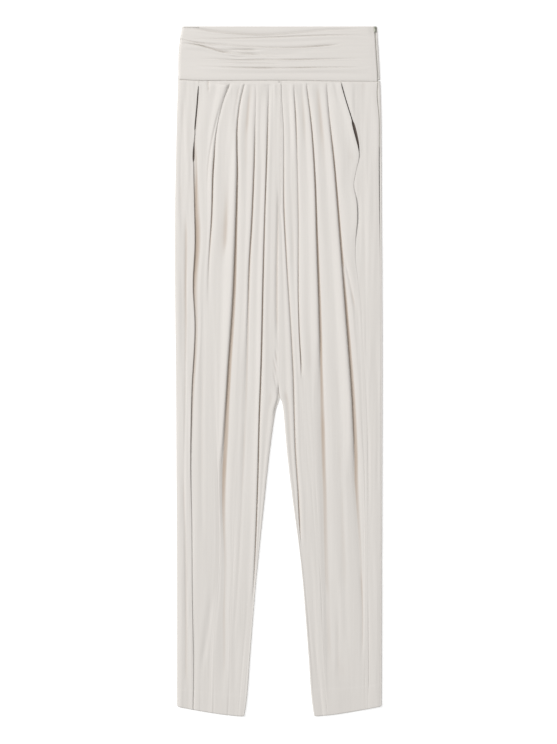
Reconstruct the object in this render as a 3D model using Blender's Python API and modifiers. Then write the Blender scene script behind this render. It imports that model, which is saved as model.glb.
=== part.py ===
"""High-waisted trousers laid flat: pleated fronts, side panels, backs, draped waistband and side zip.

The trousers lie on their back on the plane Z = 0, with the waist at +Y and the hems at -Y.
Tables give places in millimetres: x from the centre seam (viewer's right is positive) and
down from the waist's top edge.
"""

import math
from typing import NamedTuple

import bmesh
import bpy
from mathutils import Matrix, Vector

MM = 0.001

# Driving dimensions, in millimetres
LENGTH = 1138.5
BAND_HEIGHT = 89.5
CROTCH = 601.0
CLOTH = 1.2
BAND_CLOTH = 1.5
SEAM_GAP = 0.3
FRONT_LEVEL = 3.4
PANEL_TOP_LEVEL = 5.0
# The fronts leave the waistband's seam at that level and reach their own within this distance
SETTLE = 14.0
BAND_LEVEL = 5.5
EDGE_LEVEL = 4.7
# Straight stretch at the end of a turned-down edge
EDGE_DROP = 0.7

# Hem: lowest beside the inseams, higher at the outer edges
HEM_LOWEST_AT = 60.0
HEM_OUTER_AT = 167.0
HEM_RISE = 16.0
HEM_CURVE = 1.4

# Outline and seams: (down, x)
LEFT_EDGE = (
    (0, -159.5), (12, -162.5), (73, -165.7), (139, -167.5), (205, -169), (287, -170.8),
    (617, -169), (947, -167.5), (1138, -167.5),
)
RIGHT_EDGE = ((0, 163.2), (12, 164.2), (40, 166), (106, 169), (287, 170.8), (1138, 170.8))
INNER_EDGE = (
    (601, 0.15), (650, 7.5), (716, 15.5), (782, 23), (848, 31), (914, 38), (980, 43.5),
    (1046, 48.5), (1112, 53.5), (1138, 57),
)
LEFT_POCKET_SEAM = (
    (91, -131), (130, -134), (175, -138), (225, -140), (290, -139), (360, -138), (430, -141),
    (490, -138), (600, -143), (725, -145), (820, -143), (950, -142), (1070, -140), (1138, -141),
)
RIGHT_POCKET_SEAM = (
    (91, 101), (124, 111), (152, 120), (180, 128), (211, 133), (241, 128), (266, 124),
    (284, 128), (317, 130), (353, 125), (381, 121), (420, 122), (475, 128), (525, 130),
    (585, 133), (645, 135), (740, 138), (830, 141), (960, 141), (1090, 148), (1138, 148),
)
ZIP_SEAM = (
    (0, 159.3), (18, 160), (53, 162), (91, 164), (110, 163), (150, 166), (225, 166.3),
    (360, 167.3), (1138, 167.3),
)

# Levels along the seams, above FRONT_LEVEL or EDGE_LEVEL
INNER_EDGE_RISE = 0.5
SEAM_DIP = 0.5
LEFT_MOUTH_RISE = 1.2
RIGHT_LIP_RISE = 1.6
RIGHT_SEAM_RISE = 0.5
# Where the raised pocket lips begin, are full and end, down from the waist
LEFT_LIP_SPAN = (60, 90, 225, 250)
RIGHT_LIP_SPAN = (60, 90, 200, 260)
# Across the side panels: share of the width, level above the turned edge
LEFT_SIDE_CROWN = ((0.35, 0.3), (0.75, 0.5), (0.92, 0.4), (1.0, 0.0))
RIGHT_SIDE_CROWN = ((0.0, -0.4), (0.1, -0.1), (0.4, 0.3), (0.8, 0.1), (1.0, -0.1))
# Across the front beside the right pocket's mouth: distance from it, share of the lip's rise
RIGHT_LIP_SHAPE = ((6.0, 1.1), (2.0, 1.3), (0.0, 0.9))
# The inseams' edges turn down between these distances, past the crotch
TURN_DOWN_SPAN = (560, 650)
TURN_ANGLES = (0, 38, 76)
# How far up the next pleat's lip the cloth has risen halfway to it
MID_RISE = 0.4

# Pocket mouths: where each starts, is widest and ends, and how far it gapes there
LEFT_MOUTH = (92, 150, 224, 1.8)
RIGHT_MOUTH = (92, 182, 213, 6.5)
BAG_WIDTH = 19.0
BAG_BOTTOM_BELOW_MOUTH = 6.0

# Zip
ZIP_OPENING = 1.9
ZIP_END = 205.0
CHAIN_RADIUS = 0.55
CHAIN_LEVEL = 3.9
SLIDER_LENGTH = 9.0
SLIDER_WIDTH = 3.7
SLIDER_HEIGHT = 1.5
SLIDER_TOP_AT = 1.5
PIN_AT = 4.0
PIN_RADIUS = 0.32
PIN_ABOVE_SLIDER = 1.3
EAR_THICKNESS = 0.5
EAR_DEPTH = 1.8
EAR_INSIDE = 1.25
EAR_ABOVE_PIN = 0.5
EAR_ROOT = 0.4
BARREL_RADIUS = 0.95
BARREL_BORE = 0.6
BARREL_LENGTH = 1.9
TAB_LENGTH = 6.8
TAB_WIDTH = 2.6
TAB_THICKNESS = 0.7
NECK_WIDTH = 1.5
NECK_LENGTH = 2.4

# Distances down at which the long panels have a section
SECTIONS = (
    BAND_HEIGHT + SEAM_GAP, 97, 104, 114, 128, 146, 170, 200, 235, 275, 320, 370, 425, 480, 535,
    580, 610, 650,
    700, 760, 830, 910, 1000, 1080, 1138,
)
PLAIN_SECTIONS = (
    BAND_HEIGHT + SEAM_GAP, 150, 225, 287, 400, 500, 590, 610, 650, 716, 782, 848, 914, 980, 1060, 1138,
)
CHAIN_SECTIONS = (3, 18, 35, 53, 72, 86)


class Fold(NamedTuple):
    """A pleat: its high layer on the left ends in a lip and drops to the layer on its right."""

    height: float
    starts: float
    full: float
    fades: float
    ends: float
    path: tuple


LEFT_FOLDS = (
    Fold(3.6, 70, 115, 320, 410, (
        (96, -80), (119, -89), (152, -98), (223, -107), (317, -109), (404, -114), (600, -112),
        (930, -108), (1013, -119), (1138, -123),
    )),
    Fold(5.0, 70, 120, 700, 850, (
        (97, -56), (125, -63), (152, -67), (246, -68), (317, -70), (452, -77), (569, -83),
        (643, -86), (797, -93), (914, -93), (1025, -87), (1138, -86),
    )),
    Fold(3.0, 88, 150, 400, 510, (
        (119, -37), (191, -39), (317, -44), (404, -49), (464, -50), (600, -56), (800, -64),
        (914, -69), (1025, -72), (1138, -75),
    )),
    Fold(3.2, 84, 145, 820, 960, (
        (114, -16), (200, -19), (287, -22), (429, -26), (558, -29), (643, -32), (772, -35),
        (832, -40), (914, -47), (1025, -57), (1138, -66),
    )),
)
RIGHT_FOLDS = (
    Fold(3.0, 80, 135, 720, 860, (
        (104, 5), (157, 8), (317, 9.5), (381, 13), (475, 19), (569, 24), (643, 26), (701, 28),
        (761, 32), (838, 40), (914, 48), (1046, 59), (1138, 67),
    )),
    Fold(2.6, 82, 135, 450, 570, (
        (107, 26), (175, 29.5), (317, 33), (452, 33), (500, 34), (558, 38), (700, 46),
        (800, 54), (914, 63), (1046, 69), (1138, 77),
    )),
    Fold(4.6, 72, 120, 500, 650, (
        (102, 47), (152, 53), (246, 59.5), (346, 63.5), (475, 69.5), (569, 72), (617, 75),
        (797, 78), (965, 79), (1091, 80), (1138, 86),
    )),
    Fold(5.0, 72, 120, 740, 850, (
        (102, 80), (186, 87), (287, 96.5), (335, 100), (404, 106), (464, 111), (582, 121),
        (643, 124), (737, 127), (784, 129), (832, 130), (1138, 130),
    )),
)


class BandFold(NamedTuple):
    """A fold laid along the waistband: its lower layer stands proud, with its lip facing up."""

    height: float
    starts: float
    full: float
    fades: float
    ends: float
    path: tuple


BAND_FOLDS = (
    BandFold(1.0, -150, -100, 60, 110, (
        (-144, 4), (-118, 8), (-90, 11.5), (-57, 14), (-29, 15), (1, 14), (34, 11.5), (70, 8.3),
        (103, 5),
    )),
    BandFold(0.8, -130, -70, 110, 145, (
        (-123, 20), (-80, 21), (-29, 19.6), (9, 18), (57, 15.5), (103, 14.7), (139, 16.3),
    )),
    BandFold(1.3, -158, -125, 70, 105, (
        (-156, 25), (-134, 27), (-113, 29.5), (-90, 31), (-62, 34), (-29, 35), (4, 35.8), (42, 35),
        (68, 33), (95, 31),
    )),
    BandFold(0.9, -135, -105, -50, 0, (
        (-129, 33), (-108, 36), (-90, 41), (-47, 44.5), (-14, 49), (60, 46),
    )),
    BandFold(1.2, -110, -60, 80, 140, ((-101, 54), (-29, 55), (34, 55), (133, 53.3))),
    BandFold(1.4, -140, -90, 80, 140, (
        (-129, 64.5), (-98, 66.5), (-37, 68.6), (1, 68.8), (75, 67.5), (133, 67.5),
    )),
)

# One pleat across: offset from its line, share of its drop, share of its overhang, spread when shallow
PLEAT_SHAPE = (
    (-3.6, 0.03, 0.0, -1.0),
    (-1.3, 0.0, 0.0, -0.6),
    (0.0, 0.2, 1.0, 0.0),
    (0.35, 0.55, 0.6, 0.45),
    (0.75, 0.87, -1.2, 0.9),
    (1.9, 1.0, 0.0, 0.8),
)
PLEAT_OVERHANG = 0.8
PLEAT_CLEARANCE = 0.8
OVERHANG_FROM = 2.0
OVERHANG_FULL = 4.0
# One waistband fold across: offset from its line, share of its rise
BAND_FOLD_SHAPE = ((-1.2, 0.0), (0.1, 0.7), (1.3, 1.0))
BAND_COLUMNS = 18

CLOTH_COLOUR = (0.74, 0.715, 0.68, 1.0)
BAG_COLOUR = (0.62, 0.59, 0.55, 1.0)
CHAIN_COLOUR = (0.45, 0.45, 0.40, 1.0)
METAL_COLOUR = (0.27, 0.28, 0.22, 1.0)


def smooth(value, start, end):
    """0 before start, 1 after end, an S-curve between."""
    share = min(max((value - start) / (end - start), 0.0), 1.0)
    return share * share * (3 - 2 * share)


def rise_and_fall(value, start, full, fades, end):
    return smooth(value, start, full) * (1 - smooth(value, fades, end))


def along(path, at):
    """The value of a line of points at a distance, curved smoothly through the points."""
    if at <= path[0][0]:
        return path[0][1]
    if at >= path[-1][0]:
        return path[-1][1]
    after = next(i for i, point in enumerate(path) if point[0] > at)
    (x0, y0), (x1, y1) = path[after - 1], path[after]

    def slope(i):
        low, high = path[max(i - 1, 0)], path[min(i + 1, len(path) - 1)]
        return (high[1] - low[1]) / (high[0] - low[0])

    t = (at - x0) / (x1 - x0)
    span = x1 - x0
    return (
        (2 * t**3 - 3 * t**2 + 1) * y0
        + (t**3 - 2 * t**2 + t) * span * slope(after - 1)
        + (3 * t**2 - 2 * t**3) * y1
        + (t**3 - t**2) * span * slope(after)
    )


def hem(x):
    """How far down the hem lies at x."""
    share = min(max((abs(x) - HEM_LOWEST_AT) / (HEM_OUTER_AT - HEM_LOWEST_AT), 0.0), 1.1)
    return LENGTH - HEM_RISE * share**HEM_CURVE


def place(x, down, level):
    return Vector((x, LENGTH / 2 - down, level)) * MM


def inner_edge(down, side):
    """The centre seam down to the crotch, then the inseam's edge. side is -1 left, 1 right."""
    return side * max(along(INNER_EDGE, down), SEAM_GAP / 2)


def mouth_gape(mouth, down):
    """Half the distance between the two edges of a pocket seam."""
    starts, widest, ends, gape = mouth
    share = smooth(down, starts, widest) if down < widest else 1 - smooth(down, widest, ends)
    return SEAM_GAP / 2 + gape / 2 * share


def zip_gape(down):
    """Half the distance between the two edges of the zip's seam."""
    return SEAM_GAP / 2 + (ZIP_OPENING - SEAM_GAP) / 2 * (1 - smooth(down, ZIP_END, ZIP_END + 20))


def fold_height(fold, at):
    return fold.height * rise_and_fall(at, fold.starts, fold.full, fold.fades, fold.ends)


def pleat_points(fold, down, floor, left_limit):
    """The points of one pleat across its line, from the lip to the valley, right of left_limit."""
    line = along(fold.path, down)
    height = fold_height(fold, down)
    overhang = PLEAT_OVERHANG * smooth(height, OVERHANG_FROM, OVERHANG_FULL)
    shallow = 1 - smooth(height, 0.0, 3.0)
    widest = -(PLEAT_SHAPE[0][0] + PLEAT_SHAPE[0][3])
    squeeze = min(1.0, (line - left_limit - PLEAT_CLEARANCE) / widest)
    points = []
    for offset, drop, over, spread in PLEAT_SHAPE:
        across = offset + overhang * over + spread * shallow
        if across < 0:
            across *= squeeze
        points.append((line + across, floor + height * (1 - drop)))
    return points


def rolled_edge(edge, level, low, side, roll):
    """Four points that end a panel at edge: flat for a seam (roll 0) or turned down (roll 1)."""
    radius = level - low - EDGE_DROP
    flat = [(edge - side * radius * (1 - step / 3), level - SEAM_DIP * (step / 3) ** 2) for step in range(4)]
    turned = [
        (edge - side * radius * (1 - math.sin(angle)), level - radius * (1 - math.cos(angle)))
        for angle in map(math.radians, TURN_ANGLES)
    ]
    turned.append((edge, low))
    return [
        (x0 + (x1 - x0) * roll, level0 + (level1 - level0) * roll)
        for (x0, level0), (x1, level1) in zip(flat, turned)
    ]


def halfway(before, after):
    """A point between two points of a section, where the cloth starts to rise to the next lip."""
    return (before[0] + after[0]) / 2, before[1] + (after[1] - before[1]) * MID_RISE


def front_section(down, side):
    """Points (x, level) across a front panel from left to right; side is -1 left, 1 right."""
    folds = LEFT_FOLDS if side < 0 else RIGHT_FOLDS
    turned = smooth(down, *TURN_DOWN_SPAN)
    inner = rolled_edge(
        inner_edge(down, side), FRONT_LEVEL + INNER_EDGE_RISE, CLOTH + SEAM_GAP, -side, turned
    )
    if side < 0:
        seam = along(LEFT_POCKET_SEAM, down) + mouth_gape(LEFT_MOUTH, down)
        level = FRONT_LEVEL + LEFT_MOUTH_RISE * rise_and_fall(down, *LEFT_LIP_SPAN)
        start = [(seam, level), (seam + 2.5, level + 0.3)]
        end = inner
    else:
        seam = along(RIGHT_POCKET_SEAM, down) - mouth_gape(RIGHT_MOUTH, down)
        lip = RIGHT_LIP_RISE * rise_and_fall(down, *RIGHT_LIP_SPAN) + RIGHT_SEAM_RISE
        end = [(seam - inside, FRONT_LEVEL + lip * share) for inside, share in RIGHT_LIP_SHAPE]
        start = inner[::-1]
    points = list(start)
    for fold in folds:
        pleat = pleat_points(fold, down, FRONT_LEVEL, points[-1][0])
        points.append(halfway(points[-1], pleat[0]))
        points += pleat
    points.append(halfway(points[-1], end[0]))
    points += end
    settle = smooth(down, BAND_HEIGHT - SETTLE, BAND_HEIGHT + SETTLE)
    return [(x, PANEL_TOP_LEVEL + (level - PANEL_TOP_LEVEL) * settle) for x, level in points]


def left_side_section(down):
    """Across the left side panel, from its turned-down edge to the pocket seam."""
    edge = along(LEFT_EDGE, down)
    seam = along(LEFT_POCKET_SEAM, down) - mouth_gape(LEFT_MOUTH, down)
    turned = rolled_edge(edge, EDGE_LEVEL, CLOTH + SEAM_GAP, -1, 1.0)[::-1]
    width = seam - turned[-1][0]
    crown = [(turned[-1][0] + width * share, EDGE_LEVEL + rise) for share, rise in LEFT_SIDE_CROWN]
    return turned + crown


def right_side_section(down):
    """Across the right side panel, from the pocket seam to the zip's seam."""
    seam = along(RIGHT_POCKET_SEAM, down) + mouth_gape(RIGHT_MOUTH, down)
    end = along(ZIP_SEAM, down) - zip_gape(down)
    return [(seam + (end - seam) * share, EDGE_LEVEL + rise) for share, rise in RIGHT_SIDE_CROWN]


def wrapped_section(down, start):
    """From start along the floor, round the right edge and back to the zip's seam."""
    edge = along(RIGHT_EDGE, down)
    seam = along(ZIP_SEAM, down) + zip_gape(down)
    radius = EDGE_LEVEL / 2
    centre = edge - radius
    turn = [
        (centre + radius * math.sin(angle), radius - radius * math.cos(angle))
        for angle in (math.pi * step / 6 for step in range(7))
    ]
    flat = [(start + (centre - start) * share, 0.0) for share in (0.0, 0.5)]
    return flat + turn + [(min(seam, centre - 0.1), EDGE_LEVEL)]


def flat_section(down):
    """Across the left back panel, flat on the floor."""
    edge = along(LEFT_EDGE, down) + 0.1
    inner = inner_edge(down, -1)
    return [(edge + (inner - edge) * share, 0.0) for share in (0.0, 0.35, 0.7, 1.0)]


def panel_rows(section, distances):
    """Rows of points down a panel, the last one along the hem."""
    rows = []
    for down in distances:
        points = section(down)
        last = down == distances[-1]
        rows.append([place(x, hem(x) if last else down, level) for x, level in points])
    return rows


def material(name, colour, roughness, metallic=0.0):
    made = bpy.data.materials.new(name)
    made.use_nodes = True
    shader = made.node_tree.nodes["Principled BSDF"]
    shader.inputs["Base Color"].default_value = colour
    shader.inputs["Roughness"].default_value = roughness
    shader.inputs["Metallic"].default_value = metallic
    return made


def add_object(name, mesh, finish, collection):
    made = bpy.data.objects.new(name, mesh)
    mesh.materials.append(finish)
    collection.objects.link(made)
    return made


def cloth_panel(name, rows, thickness, faces_down, finish, collection):
    """A panel lofted through rows of points, with its wall inside that surface."""
    shape = bmesh.new()
    grid = [[shape.verts.new(point) for point in row] for row in rows]
    for upper, lower in zip(grid, grid[1:]):
        for i in range(len(upper) - 1):
            corners = [upper[i], lower[i], lower[i + 1], upper[i + 1]]
            shape.faces.new(corners[::-1] if faces_down else corners)
    mesh = bpy.data.meshes.new(name)
    shape.to_mesh(mesh)
    shape.free()
    mesh.shade_smooth()
    panel = add_object(name, mesh, finish, collection)
    wall = panel.modifiers.new("wall", "SOLIDIFY")
    wall.thickness = thickness * MM
    wall.offset = -1.0
    return panel


def waistband_front_rows():
    """Rows along the waistband's front, from its top edge to the seam with the legs."""
    lines = [("edge", 0.0, 0.0)]
    for number, fold in enumerate(BAND_FOLDS):
        lines.append(("between", number, 0.0))
        lines += [("fold", number, step) for step in range(len(BAND_FOLD_SHAPE))]
    lines += [("between", len(BAND_FOLDS), 0.0), ("edge", 1.0, 0.0)]

    def row_down(kind, number, step, x):
        if kind == "edge":
            return number * (BAND_HEIGHT - SEAM_GAP)
        if kind == "fold":
            return along(BAND_FOLDS[number].path, x) + BAND_FOLD_SHAPE[step][0]
        above = 0.0 if number == 0 else along(BAND_FOLDS[number - 1].path, x) + BAND_FOLD_SHAPE[-1][0]
        last = number == len(BAND_FOLDS)
        below = BAND_HEIGHT if last else along(BAND_FOLDS[number].path, x) + BAND_FOLD_SHAPE[0][0]
        return (above + below) / 2

    def lip(number, x):
        return fold_height(BAND_FOLDS[number], x) if 0 <= number < len(BAND_FOLDS) else 0.0

    def row_level(kind, number, step, x):
        if kind == "edge":
            return BAND_LEVEL - 0.3
        if kind == "fold":
            return BAND_LEVEL + lip(number, x) * BAND_FOLD_SHAPE[step][1]
        return BAND_LEVEL + 0.55 * lip(number - 1, x)

    rows = []
    for kind, number, step in lines:
        middle = row_down(kind, number, step, 0.0)
        left, right = along(LEFT_EDGE, middle), along(ZIP_SEAM, middle) - zip_gape(middle)
        low = BAND_CLOTH + SEAM_GAP
        turned = rolled_edge(left, BAND_LEVEL, low, -1, 1.0)[::-1]
        start = turned[-1][0]
        across = [start + (right - 10 - start) * i / BAND_COLUMNS for i in range(1, BAND_COLUMNS + 1)]
        row = [place(x, row_down(kind, number, step, x), level) for x, level in turned]
        row += [place(x, row_down(kind, number, step, x), row_level(kind, number, step, x)) for x in across]
        row += [place(x, row_down(kind, number, step, x), EDGE_LEVEL) for x in (right - 3.5, right)]
        rows.append(row)
    return rows


def waistband_back_rows():
    rows = []
    for down in (0.0, 12.0, 40.0, BAND_HEIGHT - SEAM_GAP):
        start = along(LEFT_EDGE, down) + 0.1
        rows.append([place(x, down, level) for x, level in wrapped_section(down, start)])
    return rows


def pocket_bag(name, seam, mouth, finish, collection):
    """A flat strip of pocket cloth under the mouth, seen between its edges."""
    top, bottom = mouth[0] + 2, mouth[2] + BAG_BOTTOM_BELOW_MOUTH
    level = CLOTH + SEAM_GAP + 1.0
    rows = []
    for share in (0.0, 0.25, 0.5, 0.75, 1.0):
        down = top + (bottom - top) * share
        middle = along(seam, down)
        rows.append([place(middle + BAG_WIDTH * side, down, level) for side in (-0.5, 0.0, 0.5)])
    return cloth_panel(name, rows, 1.0, False, finish, collection)


def zip_chain(finish, collection):
    """The closed coil, a thin rod down the middle of the zip's opening."""
    curve = bpy.data.curves.new("zip_chain", "CURVE")
    curve.dimensions = "3D"
    curve.bevel_depth = CHAIN_RADIUS * MM
    curve.bevel_resolution = 1
    curve.use_fill_caps = True
    path = curve.splines.new("POLY")
    distances = [*CHAIN_SECTIONS, *(down for down in SECTIONS if down < ZIP_END)]
    path.points.add(len(distances) - 1)
    for point, down in zip(path.points, distances):
        point.co = (*place(along(ZIP_SEAM, down), down, CHAIN_LEVEL), 1.0)
    return add_object("zip_chain", curve, finish, collection)


def block(centre, size, bevel):
    """A box of the given size in millimetres with rounded edges, as a bmesh."""
    shape = bmesh.new()
    bmesh.ops.create_cube(shape, size=1.0)
    bmesh.ops.scale(shape, vec=Vector(size) * MM, verts=shape.verts)
    bmesh.ops.bevel(shape, geom=shape.edges[:], offset=bevel * MM, segments=2, affect="EDGES", profile=0.5)
    bmesh.ops.translate(shape, vec=centre, verts=shape.verts)
    return shape


def rod(centre, radius, length, sides=16):
    """A rod along X, as a bmesh."""
    shape = bmesh.new()
    bmesh.ops.create_cone(
        shape, cap_ends=True, segments=sides, radius1=radius * MM, radius2=radius * MM, depth=length * MM
    )
    bmesh.ops.rotate(shape, cent=(0, 0, 0), matrix=Matrix.Rotation(math.pi / 2, 3, "Y"), verts=shape.verts)
    bmesh.ops.translate(shape, vec=centre, verts=shape.verts)
    return shape


def object_from(shape, name, finish, collection):
    mesh = bpy.data.meshes.new(name)
    shape.to_mesh(mesh)
    shape.free()
    return add_object(name, mesh, finish, collection)


def combine(target, tool, operation):
    cut = target.modifiers.new(tool.name, "BOOLEAN")
    cut.object = tool
    cut.operation = operation
    tool.hide_render = True
    tool.display_type = "WIRE"


def zip_slider(pin_place, finish, collection, guides):
    """The slider's body with two ears that carry the pull tab's pin."""
    body_top = EDGE_LEVEL + SEAM_GAP + SLIDER_HEIGHT
    middle = SLIDER_TOP_AT + SLIDER_LENGTH / 2
    centre = place(along(ZIP_SEAM, middle), middle, body_top - SLIDER_HEIGHT / 2)
    slider = object_from(
        block(centre, (SLIDER_WIDTH, SLIDER_LENGTH, SLIDER_HEIGHT), 0.5), "zip_slider", finish, collection
    )
    ear_height = PIN_ABOVE_SLIDER + PIN_RADIUS + EAR_ABOVE_PIN + EAR_ROOT
    for side, label in ((-1, "ear_left"), (1, "ear_right")):
        ear_centre = pin_place + Vector((side * (EAR_INSIDE + EAR_THICKNESS / 2), 0, 0)) * MM
        ear_centre.z = (body_top - EAR_ROOT + ear_height / 2) * MM
        ear_size = (EAR_THICKNESS, EAR_DEPTH, ear_height)
        ear = object_from(block(ear_centre, ear_size, 0.2), label, finish, guides)
        combine(slider, ear, "UNION")
    pin = object_from(rod(pin_place, PIN_RADIUS, 2 * EAR_INSIDE + EAR_THICKNESS), "pin", finish, guides)
    combine(slider, pin, "UNION")
    return slider


def pull_tab(pin_place, finish, collection, guides):
    """A short narrow tab with a barrel round the slider's pin; its origin is on the pin's axis."""
    tab = object_from(rod(Vector(), BARREL_RADIUS, BARREL_LENGTH), "zip_pull_tab", finish, collection)
    tab.location = pin_place
    level = TAB_THICKNESS / 2 - BARREL_RADIUS
    neck_centre = pin_place + Vector((0, -NECK_LENGTH * 2 / 3, level)) * MM
    neck_size = (NECK_WIDTH, NECK_LENGTH, TAB_THICKNESS)
    neck = object_from(block(neck_centre, neck_size, 0.1), "neck", finish, guides)
    blade_length = TAB_LENGTH - NECK_LENGTH
    blade_centre = pin_place + Vector((0, -NECK_LENGTH - blade_length / 2, level)) * MM
    blade_size = (TAB_WIDTH, blade_length, TAB_THICKNESS)
    blade = object_from(block(blade_centre, blade_size, 0.3), "blade", finish, guides)
    bore = object_from(rod(pin_place, BARREL_BORE, 2 * BARREL_LENGTH), "bore", finish, guides)
    combine(tab, neck, "UNION")
    combine(tab, blade, "UNION")
    combine(tab, bore, "DIFFERENCE")
    return tab


def main():
    for old in list(bpy.data.objects):
        bpy.data.objects.remove(old)
    trousers = bpy.data.collections.new("trousers")
    guides = bpy.data.collections.new("guides")
    for collection in (trousers, guides):
        bpy.context.scene.collection.children.link(collection)

    cloth = material("cloth", CLOTH_COLOUR, 0.7)
    bag = material("pocket_cloth", BAG_COLOUR, 0.8)
    metal = material("zip_metal", METAL_COLOUR, 0.4, 0.6)
    chain = material("zip_tape", CHAIN_COLOUR, 0.6)

    def panel(name, section, distances, faces_down):
        cloth_panel(name, panel_rows(section, distances), CLOTH, faces_down, cloth, trousers)

    panel("front_left", lambda down: front_section(down, -1), SECTIONS, False)
    panel("front_right", lambda down: front_section(down, 1), SECTIONS, False)
    panel("side_panel_left", left_side_section, SECTIONS, False)
    panel("side_panel_right", right_side_section, SECTIONS, False)
    panel("back_left", flat_section, PLAIN_SECTIONS, True)
    panel("back_right", lambda down: wrapped_section(down, inner_edge(down, 1)), SECTIONS, True)
    pocket_bag("pocket_bag_left", LEFT_POCKET_SEAM, LEFT_MOUTH, bag, trousers)
    pocket_bag("pocket_bag_right", RIGHT_POCKET_SEAM, RIGHT_MOUTH, bag, trousers)
    cloth_panel("waistband_front", waistband_front_rows(), BAND_CLOTH, False, cloth, trousers)
    cloth_panel("waistband_back", waistband_back_rows(), BAND_CLOTH, True, cloth, trousers)

    zip_chain(chain, trousers)
    pin_level = EDGE_LEVEL + SEAM_GAP + SLIDER_HEIGHT + PIN_ABOVE_SLIDER
    pin_place = place(along(ZIP_SEAM, PIN_AT), PIN_AT, pin_level)
    zip_slider(pin_place, metal, trousers, guides)
    pull_tab(pin_place, metal, trousers, guides)


main()
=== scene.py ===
"""High-waisted trousers laid flat: fine cloth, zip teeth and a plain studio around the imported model.

Tables give places in millimetres: x from the centre seam (viewer's right is positive) and
down from the waist's top edge. Y is the distance from the middle of the length, towards the waist.
"""

import math
from typing import NamedTuple

import bpy
import numpy as np
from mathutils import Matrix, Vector


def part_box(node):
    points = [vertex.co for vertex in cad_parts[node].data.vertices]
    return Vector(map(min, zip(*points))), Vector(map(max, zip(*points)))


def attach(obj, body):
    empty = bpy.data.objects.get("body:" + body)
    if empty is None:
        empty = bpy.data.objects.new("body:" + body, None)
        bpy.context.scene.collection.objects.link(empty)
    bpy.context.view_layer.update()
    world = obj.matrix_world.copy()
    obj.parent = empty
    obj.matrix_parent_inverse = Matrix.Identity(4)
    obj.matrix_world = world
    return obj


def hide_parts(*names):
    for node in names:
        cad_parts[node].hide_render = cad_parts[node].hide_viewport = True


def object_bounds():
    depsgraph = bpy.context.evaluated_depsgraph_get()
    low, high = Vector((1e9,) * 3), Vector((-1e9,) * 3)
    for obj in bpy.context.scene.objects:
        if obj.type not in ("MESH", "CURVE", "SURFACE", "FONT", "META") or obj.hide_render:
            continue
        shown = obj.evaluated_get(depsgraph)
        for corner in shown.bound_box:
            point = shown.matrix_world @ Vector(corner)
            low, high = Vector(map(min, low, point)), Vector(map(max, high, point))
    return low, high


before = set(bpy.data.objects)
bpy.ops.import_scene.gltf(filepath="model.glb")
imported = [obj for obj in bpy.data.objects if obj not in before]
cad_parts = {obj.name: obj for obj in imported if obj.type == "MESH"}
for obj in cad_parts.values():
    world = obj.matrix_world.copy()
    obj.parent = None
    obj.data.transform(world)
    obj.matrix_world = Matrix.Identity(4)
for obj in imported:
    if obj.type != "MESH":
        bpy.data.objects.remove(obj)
cad_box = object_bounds()

MM = 0.001
LENGTH = (cad_box[1].y - cad_box[0].y) / MM

# Thickness of the shells, the gap kept at seams, and the lowest that cloth on the backs may lie
CLOTH = 0.6
BACK_CLOTH = 0.8
BAND_CLOTH = 0.8
SEAM_GAP = 0.3
ABOVE_BACK = BACK_CLOTH + SEAM_GAP
# Lower end of an edge that turns down to the backs
EDGE_BOTTOM = ABOVE_BACK + 0.1

# Heights above the floor of the fronts, of the side panels and edges, and of the waistband
FRONT_LEVEL = 4.0
SIDE_LEVEL = 4.8
EDGE_LEVEL = 4.7
BAND_LEVEL = 5.5
# An edge that turns down: the part of its height left out of its round, the round's angles, and
# its width at the inseams and at the left edge
EDGE_DROP = 0.7
TURN_ANGLES = (0, 38, 76)
INSEAM_ROUND = 1.2
LEFT_EDGE_ROUND = 2.8
# How far in from the right edge the back's turn onto the front starts, and the turn's steps
TURN_WIDTH = 1.4
TURN_STEPS = 6

# Where the waistband is sewn on, how far the panels go on under it, and their level there
BAND_SEAM = LENGTH - (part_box("front_left")[1].y - cad_box[0].y) / MM
UNDER_BAND = 3.5
UNDER_LEVEL = 3.5
# Distance below the band from which panels come up, and by which the side panels are at their level
COMES_UP = 0.3
SIDE_IS_UP = 4
# The fronts rise to a ridge below the band, and settle over this distance
RIDGE_LEVEL = 5.3
RIDGE_PAST_STRIP = 0.8
SETTLE = 26
# Smooth strip between band and pleats: its depth at the right, what it has more at the left, and
# the places across between which it narrows
STRIP = 2.6
STRIP_MORE = 3.6
STRIP_NARROWS = (10, 78)
# The pleats begin at this share of the strip's depth, and are full this far past the strip
PLEATS_FROM = 0.6
PLEATS_FULL = 4
# Gathers below the band: height, width, length and how far down they fade
GATHERS = (0.3, 3.6, 45, 30)

# How far a panel goes on under the one that is sewn over it, and the half gaps of a pocket's mouth
# between which it stops doing so
TUCK = 3.0
TUCK_ENDS = (0.1, 0.4)
# Halfway to the next fold the cloth has risen by this share of the way up to its lip
MID_RISE = 0.3
# Mesh steps on each side of that halfway column, and beside the left pocket
HALF_STEPS = 7
FIRST_STEPS = 12
# Columns of a panel over which a hollow is looked for
HOLLOW_REACH = 8
# The waves of the cloth follow the folds, by their place at this distance down
FOLLOW_AT = 300
# Distance from a panel's edge over which its waves and its hem's step fade out
EDGE_FADE = 6

# The backs start this many rows further down than the panels above, and this far inside the edge
BACK_SKIPS = 4
BACK_INSIDE = 0.1
# Points across the left back, rows of the band's back, and how far below the band's top it starts
BACK_COLUMNS = 46
BAND_BACK_ROWS = 60
BAND_BACK_BELOW = 0.2
# Unevenness of the turned right edge: height, width and length
EDGE_UNEVEN = (0.15, 10, 40)

# Where each stretch of the long panels' rows ends, and how many rows it has
ROW_STRETCHES = ((BAND_SEAM + 28, 26), (595, 110), (650, 22), (LENGTH - 50, 98), (LENGTH, 26))

# Hem: lowest beside the inseams, higher at the outer edges
HEM_LOWEST_AT = 60.0
HEM_OUTER_AT = 167.0
HEM_RISE = 16.0
HEM_CURVE = 1.4
# Distance above the hem from which the rows bend to follow it
HEM_BENDS = 90
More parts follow.
